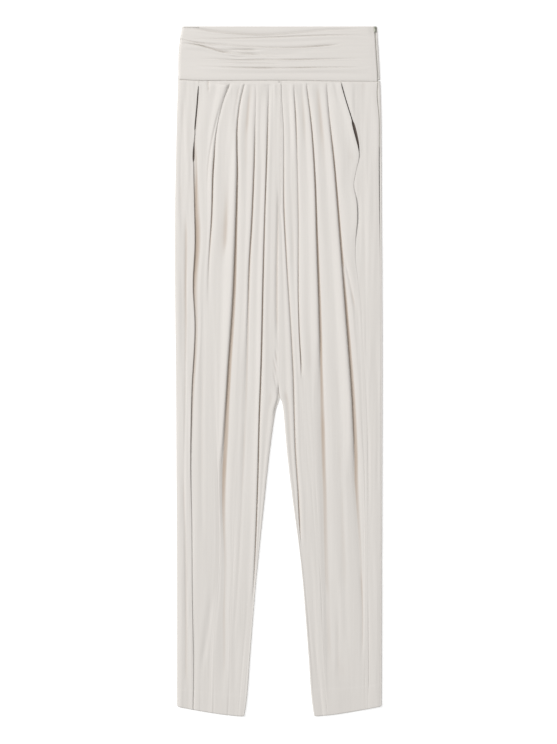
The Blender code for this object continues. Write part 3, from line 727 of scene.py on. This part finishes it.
def left_front_columns(down, base):
    """From under the side panel, up out of the pocket's valley, over the folds to the centre."""
    inner, centre = centre_columns(down, -1)
    seam = follow(LEFT_POCKET_SEAM, down) + gape(LEFT_MOUTHS, down)
    low = np.interp(down, *LEFT_VALLEY)
    width = np.interp(down, *LEFT_VALLEY_WIDTH)
    valley = [
        (seam - tucked(LEFT_MOUTHS, down), base - low - VALLEY_UNDER), (seam + VALLEY_START, base - low),
    ]
    valley += [(seam + out * width, base - share * low) for out, share in VALLEY_SHAPE]
    columns, steps = folds_across(LEFT_FOLDS, down, valley[-1][0], inner, base, LEG_LIP)
    steps[:2] = FIRST_STEPS, FIRST_STEPS
    columns = valley + columns + [halfway(columns[-1], centre[0])] + centre
    return columns, [2, 2, 3, 3] + steps + [HALF_STEPS, 2 * HALF_STEPS, 2, 2, 2]


def right_front_columns(down, base):
    """From the centre over the folds to the lip of the pocket's mouth and seam."""
    inner, centre = centre_columns(down, 1)
    seam = follow(RIGHT_POCKET_SEAM, down) - gape(RIGHT_MOUTHS, down)
    lip = np.interp(down, *RIGHT_LIP)
    (above, above_span), (within, within_span) = LIP_FALL_ABOVE, LIP_FALL_WITHIN
    fall = LIP_FALL + above * (1 - smooth(down, *above_span)) + within * rise_and_fall(down, *within_span)
    less, less_span = LIP_REACH_LESS
    reach = LIP_REACH - less * smooth(down, *less_span)
    outer = [(seam - reach, base + LIP_START * lip)]
    outer += [(seam - away, base + lip - share * fall) for away, share in RIGHT_LIP_ROUND]
    columns, steps = folds_across(RIGHT_FOLDS, down, inner, outer[0][0], base, LEG_LIP)
    return centre[::-1] + columns + outer, [2, 2, 2] + steps + [8, 4, 2, 2, 2]


def front_grid(side):
    """Across, down and level of every point of a front; side is -1 left, 1 right."""
    down = long_rows()
    base = FRONT_LEVEL + 0 * down
    left = side < 0
    columns, steps = left_front_columns(down, base) if left else right_front_columns(down, base)
    x, level = curve_through(columns, steps)
    across = x[np.searchsorted(down, FOLLOW_AT)][None, :] + 0 * x
    down = np.broadcast_to(down[:, None], x.shape)
    more, reach = MORE_WAVES
    more_waves = 1 + more * np.exp(-np.maximum(down - BAND_SEAM, 0) / reach)
    edges = smooth(np.abs(x - x[:, :1]), 0, EDGE_FADE) * smooth(np.abs(x[:, -1:] - x), 0, EDGE_FADE)
    waves = edges * more_waves * wrinkles(across, down, SEEDS["front_left" if left else "front_right"])
    level = leave_band(x, down, level + waves) - creased(x, down, LEFT_CREASES if left else RIGHT_CREASES)
    return x, down, np.maximum(level, ABOVE_BACK) + hem_step(down, LEFT_HEM if left else RIGHT_HEM) * edges


def left_side_grid():
    """From the left edge, turned down to the back, to the lip over the pocket's mouth and seam."""
    down = long_rows()
    edge = follow(LEFT_EDGE, down)
    seam = follow(LEFT_POCKET_SEAM, down) - gape(LEFT_MOUTHS, down)
    lip = np.interp(down, *LEFT_LIP)
    turned = rolled_edge(edge, EDGE_LEVEL + 0 * edge, EDGE_BOTTOM, -1, LEFT_EDGE_ROUND)[::-1]
    start = turned[-1][0]
    (crown_share, crown_level), (foot, foot_share) = LEFT_CROWN, LIP_FOOT
    crown = [
        (start + (seam - start) * crown_share, crown_level + 0 * down),
        (seam - foot, SIDE_LEVEL + foot_share * (lip - SIDE_LEVEL)),
    ]
    rounded = [(seam - away, lip - drop) for away, drop in LEFT_LIP_ROUND]
    x, level = curve_through(turned + crown + rounded, [3, 3, 2, 7, 7, 5, 2, 2, 2])
    down = np.broadcast_to(down[:, None], x.shape)
    inside = smooth(x - x[:, :1], 0, EDGE_FADE)
    waves = LEFT_SIDE_WAVES * inside * wrinkles(x, down, SEEDS["side_left"])
    level = level - creased(x, down, LEFT_SIDE_CREASES) + waves
    return x, down, side_leaves_band(x, down, level) + inside * hem_step(down, LEFT_HEM)


def zip_gape(down):
    """Half the distance between the edges that meet over the zip, wider round the slider."""
    (coil, coil_ends), (slider, slider_ends) = COIL_GAP, SLIDER_GAP
    return ZIP_GAP + coil * (1 - smooth(down, *coil_ends)) + slider * (1 - smooth(down, *slider_ends))


def zip_ridge(down):
    """How far the cloth rises over the coil of the zip."""
    return COIL_RISE * rise_and_fall(down, *COIL_SPAN)


def zip_dip(down):
    """How far the edges that meet over the zip turn down."""
    more, ends = ZIP_DIP_ABOVE
    return ZIP_DIP + more * (1 - smooth(down, *ends))


def right_side_grid():
    """From under the front, out of the pocket's valley, over the crown to the zip."""
    down = long_rows()
    seam = follow(RIGHT_POCKET_SEAM, down) + gape(RIGHT_MOUTHS, down)
    end = follow(ZIP_SEAM, down) - zip_gape(down)
    start = seam - tucked(RIGHT_MOUTHS, down)
    low = np.interp(down, *RIGHT_VALLEY)
    valley = [(start, RIGHT_UNDER_LEVEL - low)]
    valley += [(seam + away, height - share * low) for away, height, share in RIGHT_RISES]
    crown = [(seam + (end - seam) * share, height + 0 * down) for share, height in RIGHT_CROWN]
    top = EDGE_LEVEL + zip_ridge(down)
    edge = [(end - away, top - share * zip_dip(down)) for away, share in ZIP_EDGE]
    x, level = curve_through(valley + crown + edge, [2, 3, 8, 10, 6, 3, 3])
    down = np.broadcast_to(down[:, None], x.shape)
    inside = smooth(x[:, -1:] - x, 0, EDGE_FADE) * smooth(x - x[:, :1], 0, EDGE_FADE)
    waves = RIGHT_SIDE_WAVES * inside * wrinkles(x, down, SEEDS["side_right"])
    level = level - creased(x, down, RIGHT_SIDE_CREASES) + waves
    return x, down, side_leaves_band(x, down, level) + inside * hem_step(down, RIGHT_HEM)


def wrapped_grid(down, start, seam, top, dip, flat_steps, seed):
    """From start along the floor, round the right edge and back to the zip's seam."""
    height, width, length = EDGE_UNEVEN
    edge = follow(RIGHT_EDGE, down) + height * patches(0 * down, down, width, length, seed)
    radius = EDGE_LEVEL / 2
    centre = edge - TURN_WIDTH
    flat = [(start + (centre - start) * share, 0 * down) for share in (0.0, 0.33, 0.66)]
    turn = [
        (centre + TURN_WIDTH * math.sin(angle), radius - radius * math.cos(angle) + 0 * down)
        for angle in (math.pi * step / TURN_STEPS for step in range(TURN_STEPS))
    ]
    over = [(centre, EDGE_LEVEL + 0 * down)]
    over += [(centre + (seam - centre) * share, top - fall * dip) for share, fall in FAR_EDGE]
    x, level = curve_through(flat + turn + over, [flat_steps] * 3 + [2] * (TURN_STEPS + len(FAR_EDGE)))
    return x, np.broadcast_to(down[:, None], x.shape), np.maximum(level, 0)


def back_dents(x, down, seed):
    """Shallow troughs in the side that lies on the surface, deepest away from the edges."""
    return sum(
        depth * np.maximum(patches(x, down, width, length, seed + number), 0)
        for number, (depth, width, length) in enumerate(DENTS)
    )


def back_left_grid():
    """Flat on the floor from the left edge to the centre seam and inseam."""
    down = long_rows()[BACK_SKIPS:]
    edge = follow(LEFT_EDGE, down) + BACK_INSIDE
    inner = inner_edge(down, -1) - SEAM_GAP / 2
    share = np.linspace(0, 1, BACK_COLUMNS)
    x = edge[:, None] + (inner - edge)[:, None] * share
    down = np.broadcast_to(down[:, None], x.shape)
    inside = smooth(share, 0, 0.1) * (1 - smooth(share, 0.9, 1.0))
    return x, down, back_dents(x, down, SEEDS["back_left"]) * inside


def zip_far_edge(down):
    """The back's edge at the zip, which stays on the flat of the turned side."""
    limit = follow(RIGHT_EDGE, down) - TURN_WIDTH - 0.2
    return np.minimum(follow(ZIP_SEAM, down) + zip_gape(down), limit)


def back_right_grid():
    """Flat on the floor, then round the right edge to the zip."""
    down = long_rows()[BACK_SKIPS:]
    x, down, level = wrapped_grid(
        down, inner_edge(down, 1) + SEAM_GAP / 2, zip_far_edge(down),
        EDGE_LEVEL + zip_ridge(down), zip_dip(down), 7, SEEDS["back_right"],
    )
    inside = smooth(x - x[:, :1], 0, 10) * (1 - smooth(x, 150, 160)) * (level < 0.01)
    return x, down, level + back_dents(x, down, SEEDS["back_right"]) * inside


def band_columns(nominal):
    """Columns up the waistband, from its lower edge over the folds to its top, and steps."""
    bottom = follow(BAND_BOTTOM, nominal)
    base = BAND_LEVEL + 0 * nominal
    # Counted upwards, so that every lip lies on the lower side of its line
    folds = []
    for path, shape in reversed(BAND_FOLDS):
        upwards = tuple((x, -down) for x, down in path)
        turned = tuple((x, deep, below, above) for x, deep, above, below in shape)
        folds.append(Fold(upwards, turned))
    hem_end = [(away - bottom, base - drop) for away, drop in BAND_HEM]
    columns, steps = folds_across(folds, nominal, BAND_HEM[-1][0] - bottom, -BAND_TOP, base, BAND_LIP)
    top_end = [(-away - BAND_TOP, base - drop) for away, drop in BAND_TOP_ROUND]
    return hem_end + columns + top_end, [2, 2, 2] + steps + [HALF_STEPS, 2, 2, 2, 2]


def quarter_round(share):
    """Height of a quarter circle's arc at a share of the way in from its edge."""
    return np.sqrt(1 - np.clip(1 - share, 0, 1) ** 2)


def waistband_front_grid():
    """The folds run along the band, so each station is an upright line across it."""
    share = np.linspace(0, 1, BAND_STATIONS)
    up, level = curve_through(*band_columns(BAND_HALF * (2 * share - 1)))
    down, level = -up.T, level.T
    left = follow(LEFT_EDGE, down)
    right = follow(ZIP_SEAM, down) - zip_gape(down)
    x = left + (right - left) * share
    pattern = wrinkles(down * BAND_WAVE_SCALE + BAND_WAVE_PLACE, x, SEEDS["band_front"])
    level = level - creased(down, x, BAND_CREASES) + BAND_WRINKLES * pattern
    # The left edge turns down to the back, the right edge comes down to the zip
    low = BAND_CLOTH + SEAM_GAP
    level = low + (level - low) * quarter_round((x - left) / BAND_SIDE_ROUND)
    top = EDGE_LEVEL + zip_ridge(down)
    begins, ends = BAND_COMES_DOWN
    level = level + (np.minimum(level, top) - level) * smooth(x, right - begins, right - ends)
    level = level - BAND_ROLL_DROP * smooth(x, right - BAND_ROLLS, right)
    corner = BAND_CORNER * (1 - quarter_round((x - left) / BAND_CORNER))
    down = np.maximum(down, (BAND_TOP + corner) * (down < BAND_TOP + BAND_CORNER))
    return x[::-1], down[::-1], level[::-1]


def waistband_back_grid():
    """Flat on the floor under the band's front, then round the right edge to the zip."""
    down = np.linspace(BAND_TOP + BAND_BACK_BELOW, BAND_SEAM - 2 * SEAM_GAP, BAND_BACK_ROWS)
    seam = follow(ZIP_SEAM, down) + zip_gape(down)
    start = follow(LEFT_EDGE, down) + BACK_INSIDE
    top = EDGE_LEVEL + zip_ridge(down)
    return wrapped_grid(down, start, seam, top, BAND_ROLL_DROP + 0 * down, 14, SEEDS["band_back"])


def hollows(level, axis, beside):
    """How far each point lies below the cloth on both sides of it; beside is the next piece's level."""
    level = np.moveaxis(level, axis, 1)
    before, after = level.copy(), level.copy()
    before[:, :HOLLOW_REACH] = np.maximum(before[:, :HOLLOW_REACH], beside)
    for step in range(1, HOLLOW_REACH):
        before[:, step:] = np.maximum(before[:, step:], level[:, :-step])
        after[:, :-step] = np.maximum(after[:, :-step], level[:, step:])
    return np.moveaxis(np.minimum(before, after) - level, 1, axis)


def cloth_piece(name, grid, wall, faces_down=False, fold_axis=1, beside=0.0):
    """A sheet of cloth through a grid of points, with its thickness inside that surface."""
    x, down, level = grid
    placed = down + (hem(x) - LENGTH) * smooth(down, LENGTH - HEM_BENDS, LENGTH)
    points = np.stack([x, LENGTH / 2 - placed, level], -1).reshape(-1, 3) * MM
    index = np.arange(x.size).reshape(x.shape)
    corners = [index[:-1, :-1], index[1:, :-1], index[1:, 1:], index[:-1, 1:]]
    if faces_down:
        corners.reverse()
    quads = np.stack(corners, -1).reshape(-1, 4)
    mesh = bpy.data.meshes.new(name)
    mesh.from_pydata(points.tolist(), [], quads.tolist())
    mesh.shade_smooth()
    # Depth of each point's hollow, which the crepe turns into painted shade in the folds
    depth = mesh.attributes.new("hollow", "FLOAT", "POINT")
    depth.data.foreach_set("value", hollows(level, fold_axis, beside).ravel())
    piece = bpy.data.objects.new(name, mesh)
    bpy.context.scene.collection.objects.link(piece)
    thickness = piece.modifiers.new("wall", "SOLIDIFY")
    thickness.thickness = wall * MM
    thickness.offset = -1.0
    return piece


class Value:
    """A socket of a material's nodes; arithmetic on it adds Math nodes."""

    def __init__(self, finish, socket):
        self.finish = finish
        self.socket = socket

    def math(self, operation, first, second):
        return self.finish.node("ShaderNodeMath", {"operation": operation}, {0: first, 1: second})

    def __add__(self, other):
        return self.math("ADD", self, other)

    __radd__ = __add__

    def __mul__(self, other):
        return self.math("MULTIPLY", self, other)

    __rmul__ = __mul__


class Finish:
    """A material under construction. Every node but arithmetic comes from node()."""

    def __init__(self, name):
        self.material = bpy.data.materials.new(name)
        self.material.use_nodes = True
        self.tree = self.material.node_tree
        self.tree.nodes.clear()
        self.place = self.node("ShaderNodeTexCoord", output="Object")

    def node(self, kind, settings=None, sockets=None, output=0):
        """A node with its settings made first, then its sockets' values or links."""
        made = self.tree.nodes.new(kind)
        for name, value in (settings or {}).items():
            setattr(made, name, value)
        for name, value in (sockets or {}).items():
            if isinstance(value, Value):
                self.tree.links.new(value.socket, made.inputs[name])
            else:
                made.inputs[name].default_value = value
        return Value(self, made.outputs[output]) if made.outputs else None

    def noise(self, scale, detail=2.0, rough=0.5):
        """Noise from 0 to 1 with its own scale along X, Y and Z, in patches a metre."""
        stretched = self.node("ShaderNodeMapping", {}, {"Vector": self.place, "Scale": scale})
        sockets = {"Vector": stretched, "Scale": 1.0, "Detail": detail, "Roughness": rough}
        return self.node("ShaderNodeTexNoise", {}, sockets)

    def waves(self, direction, scale):
        """Bands from 0 to 1 across X or Y."""
        return self.node(
            "ShaderNodeTexWave", {"wave_type": "BANDS", "bands_direction": direction},
            {"Vector": self.place, "Scale": scale, "Distortion": 1.2, "Detail": 1.0, "Detail Scale": 0.6},
            "Fac",
        )

    def mix(self, factor, low, high):
        """A colour between two; 6 and 7 are the node's colour sockets, 2 its colour output."""
        return self.node(
            "ShaderNodeMix", {"data_type": "RGBA"}, {"Factor": factor, 6: low, 7: high}, 2
        )

    def bump(self, height_mm):
        """A normal from heights in millimetres."""
        return self.node("ShaderNodeBump", {}, {"Strength": 1.0, "Distance": MM, "Height": height_mm})

    def surface(self, **sockets):
        """The finished material, from its surface's sockets."""
        named = {name.replace("_", " "): value for name, value in sockets.items()}
        shader = self.node("ShaderNodeBsdfPrincipled", {}, named)
        self.node("ShaderNodeOutputMaterial", {}, {"Surface": shader})
        return self.material


# Colours of the crepe: its two tones, and the painted shade down in the folds of the legs and of the
# waistband
STONE = (0.712, 0.676, 0.636, 1)
PALE_STONE = (0.775, 0.743, 0.708, 1)
FOLD_SHADE = (0.53, 0.435, 0.355, 1)
BAND_SHADE = (0.49, 0.455, 0.415, 1)
# Depths of a hollow, in millimetres, between which the cloth takes on the painted shade of its folds
SHADE_FROM = 0.2
SHADE_FULL = 2.5


def crepe(name, lengthways, deep):
    """Light crepe with a faint sheen, its ribs along X or Y, with painted shade down in its folds."""
    finish = Finish(name)

    def noise(across, along, up, detail, rough=0.5):
        scale = (across, along, up) if lengthways == "Y" else (along, across, up)
        return finish.noise(scale, detail, rough)

    # Painted shade: the hollow's depth sets how far the colour goes from the crepe's tone to deep, the
    # painted fold shade
    hollow = finish.node("ShaderNodeAttribute", {"attribute_name": "hollow"}, output="Fac")
    depth = finish.node(
        "ShaderNodeMapRange", {"interpolation_type": "SMOOTHSTEP"},
        {"Value": hollow, "From Min": SHADE_FROM, "From Max": SHADE_FULL},
    )
    slub = noise(420.0, 9.0, 60.0, 3.0)
    ribs = noise(170.0, 6.0, 60.0, 2.0)
    crinkle = noise(260.0, 14.0, 90.0, 4.0, 0.6)
    cloudy = noise(14.0, 7.0, 14.0, 2.0)
    grain = noise(1500.0, 1100.0, 1500.0, 2.0)
    threads = finish.waves("X", 330.0) * finish.waves("Y", 330.0)
    tone = finish.mix(slub * 0.45 + cloudy * 0.35 + grain * 0.2, STONE, PALE_STONE)
    return finish.surface(
        Base_Color=finish.mix(depth, tone, deep),
        Roughness=0.6 + slub * 0.14,
        Normal=finish.bump(crinkle * 0.16 + ribs * 0.22 + grain * 0.02 + threads * 0.012),
        Sheen_Weight=0.12,
        Sheen_Roughness=0.45,
        Specular_IOR_Level=0.3,
    )


def painted_pocket_shade():
    """Dark brown painted shade for the pocket bags, inside the pocket mouths."""
    finish = Finish("pocket_cloth")
    grain = finish.noise((900.0, 900.0, 900.0), 2.0)
    return finish.surface(
        Base_Color=finish.mix(grain, (0.12, 0.092, 0.075, 1), (0.17, 0.135, 0.115, 1)),
        Roughness=0.85 + grain * 0.1,
        Normal=finish.bump(grain * 0.05),
    )


def enamel():
    """Olive-grey enamel on the slider and its tab, a little worn."""
    finish = Finish("zip_enamel")
    wear = finish.noise((700.0, 700.0, 700.0), 3.0)
    return finish.surface(
        Base_Color=finish.mix(wear, (0.27, 0.28, 0.225, 1), (0.40, 0.405, 0.34, 1)),
        Roughness=0.34 + wear * 0.14,
        Metallic=0.45,
        Normal=finish.bump(wear * 0.02),
    )


def nylon():
    """Grey-beige nylon of the zip's coil."""
    finish = Finish("zip_nylon")
    grain = finish.noise((1200.0, 300.0, 1200.0), 1.0)
    return finish.surface(
        Base_Color=finish.mix(grain, (0.40, 0.39, 0.34, 1), (0.52, 0.50, 0.45, 1)),
        Roughness=0.5 + grain * 0.1,
        Normal=finish.bump(grain * 0.02),
    )


def studio_white():
    """Floor that glows a little, so that it stays white under the soft shadows."""
    finish = Finish("floor_white")
    return finish.surface(
        Base_Color=(0.5, 0.5, 0.5, 1),
        Roughness=0.9,
        Emission_Color=(1, 1, 1, 1),
        Emission_Strength=FLOOR_GLOW,
    )


# The coil's turns: size, pitch, how far each lies off the seam's line, rounding and upper side
TOOTH = (0.7, 0.45, 0.6)
TOOTH_PITCH = 0.95
TOOTH_ASIDE = 0.12
TOOTH_ROUND = 0.12
TEETH_TOP = 4.42
# Distances down between which they show, from the slider to the end of the zip
TEETH_FROM = 12.0
TEETH_TO = 200.0


def zip_teeth():
    """The coil's turns on the zip's cord, left and right in turn, as one mesh."""
    corners = np.array([(x, y, z) for x in (-0.5, 0.5) for y in (-0.5, 0.5) for z in (-0.5, 0.5)])
    sides = [(0, 1, 3, 2), (4, 6, 7, 5), (0, 4, 5, 1), (2, 3, 7, 6), (0, 2, 6, 4), (1, 5, 7, 3)]
    points, faces = [], []
    for turn, down in enumerate(np.arange(TEETH_FROM, TEETH_TO, TOOTH_PITCH)):
        middle = np.array([float(follow(ZIP_SEAM, down)), LENGTH / 2 - down, TEETH_TOP - TOOTH[2] / 2])
        middle[0] += TOOTH_ASIDE if turn % 2 else -TOOTH_ASIDE
        faces += [tuple(8 * turn + corner for corner in side) for side in sides]
        points += ((middle + corners * TOOTH) * MM).tolist()
    mesh = bpy.data.meshes.new("zip_teeth")
    mesh.from_pydata(points, [], faces)
    piece = bpy.data.objects.new("zip_teeth", mesh)
    bpy.context.scene.collection.objects.link(piece)
    soft = piece.modifiers.new("round", "BEVEL")
    soft.width = TOOTH_ROUND * MM
    soft.segments = 1
    return piece


# The photograph's frame: 744 pixels high at 1.65 mm a pixel, centred a pixel below the middle
PIXEL = 1.65 * MM
FRAME_HEIGHT = 744 * PIXEL
CENTRE_BELOW = PIXEL
# Focal length and sensor's longer side, in millimetres
LENS = 110.0
SENSOR = 36.0
# Name, place, diameter in metres and watts
LAMPS = (("key", (-3.6, 2.1, 5.2), 3.5, 344.0), ("fill", (3.4, -1.0, 5.0), 3.5, 32.0))
SKY_STRENGTH = 0.33
FLOOR_GLOW = 0.66
# In metres
FLOOR_HALF = 3.0
FLOOR_LEVEL = -0.0004


def studio():
    """Camera straight above, a soft key light from the upper left, pale surroundings and floor."""
    scene = bpy.context.scene
    camera = bpy.data.cameras.new("camera")
    camera.sensor_width = SENSOR
    camera.lens = LENS
    eye = bpy.data.objects.new("camera", camera)
    eye.location = (0, -CENTRE_BELOW, FRAME_HEIGHT * LENS / SENSOR)
    scene.collection.objects.link(eye)
    scene.camera = eye

    for name, place, size, power in LAMPS:
        lamp = bpy.data.lights.new(name, "AREA")
        lamp.shape = "DISK"
        lamp.size = size
        lamp.energy = power
        light = bpy.data.objects.new(name, lamp)
        light.location = place
        light.rotation_euler = (-Vector(place)).to_track_quat("-Z", "Y").to_euler()
        scene.collection.objects.link(light)

    scene.world = bpy.data.worlds.new("sky")
    scene.world.use_nodes = True
    sky = scene.world.node_tree.nodes["Background"]
    sky.inputs["Color"].default_value = (1, 1, 1, 1)
    sky.inputs["Strength"].default_value = SKY_STRENGTH
    scene.view_settings.view_transform = "Standard"

    mesh = bpy.data.meshes.new("floor")
    corners = [(-1, -1), (1, -1), (1, 1), (-1, 1)]
    points = [(x * FLOOR_HALF, y * FLOOR_HALF, FLOOR_LEVEL) for x, y in corners]
    mesh.from_pydata(points, [], [(0, 1, 2, 3)])
    mesh.materials.append(studio_white())
    floor = bpy.data.objects.new("floor", mesh)
    scene.collection.objects.link(floor)


def add_sheet(piece, node, finish):
    """Finish a cloth piece and put it in place of its solid."""
    piece.data.materials.append(finish)
    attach(piece, "trousers")
    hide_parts(node)


def dress():
    """The fine cloth in place of the plain panels, and finishes on what stays."""
    # Both crepes carry painted shade down in their folds
    cloth = crepe("crepe", "Y", FOLD_SHADE)
    band_cloth = crepe("crepe_band", "X", BAND_SHADE)
    # The left side panel's lip, lowered, as the level beside the left front for its painted shade
    lip = np.interp(long_rows(), *LEFT_LIP)[:, None] - LIP_SHADE
    backs = ["cloth_back_left", "cloth_back_right"]
    fronts = (
        ("cloth_front_left", "front_left", front_grid(-1), lip, (0.225, 1.08), 0.165, backs[:1]),
        ("cloth_front_right", "front_right", front_grid(1), 0.0, (0.225, 1.08), 0.165, backs[1:]),
        ("cloth_side_left", "side_panel_left", left_side_grid(), 0.0, (0.040, 1.05), 0.033, backs[:1]),
        ("cloth_side_right", "side_panel_right", right_side_grid(), 0.0, (0.065, 1.05), 0.034, backs[1:]),
    )
    rest = (
        ("cloth_back_left", "back_left", back_left_grid(), cloth, (0.17, 1.05), 0.161),
        ("cloth_back_right", "back_right", back_right_grid(), cloth, (0.175, 1.05), 0.170),
        ("cloth_band_back", "waistband_back", waistband_back_grid(), band_cloth, (0.333, 0.09), None),
    )
    for name, node, grid, beside, flat, area, under in fronts:
        add_sheet(cloth_piece(name, grid, CLOTH, beside=beside), node, cloth)
    for name, node, grid, finish, flat, area in rest:
        add_sheet(cloth_piece(name, grid, BACK_CLOTH, faces_down=True), node, finish)
    band = cloth_piece("cloth_band_front", waistband_front_grid(), BAND_CLOTH, fold_axis=0)
    add_sheet(band, "waistband_front", band_cloth)

    # The pocket bags carry the dark painted shade of the pocket mouths
    finishes = {"pocket_bag_left": painted_pocket_shade(), "zip_chain": nylon(), "zip_slider": enamel()}
    finishes["pocket_bag_right"] = finishes["pocket_bag_left"]
    finishes["zip_pull_tab"] = finishes["zip_slider"]
    for node, finish in finishes.items():
        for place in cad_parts[node].material_slots:
            place.material = finish
    teeth = zip_teeth()
    teeth.data.materials.append(finishes["zip_chain"])
    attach(teeth, "trousers")


studio()
dress()
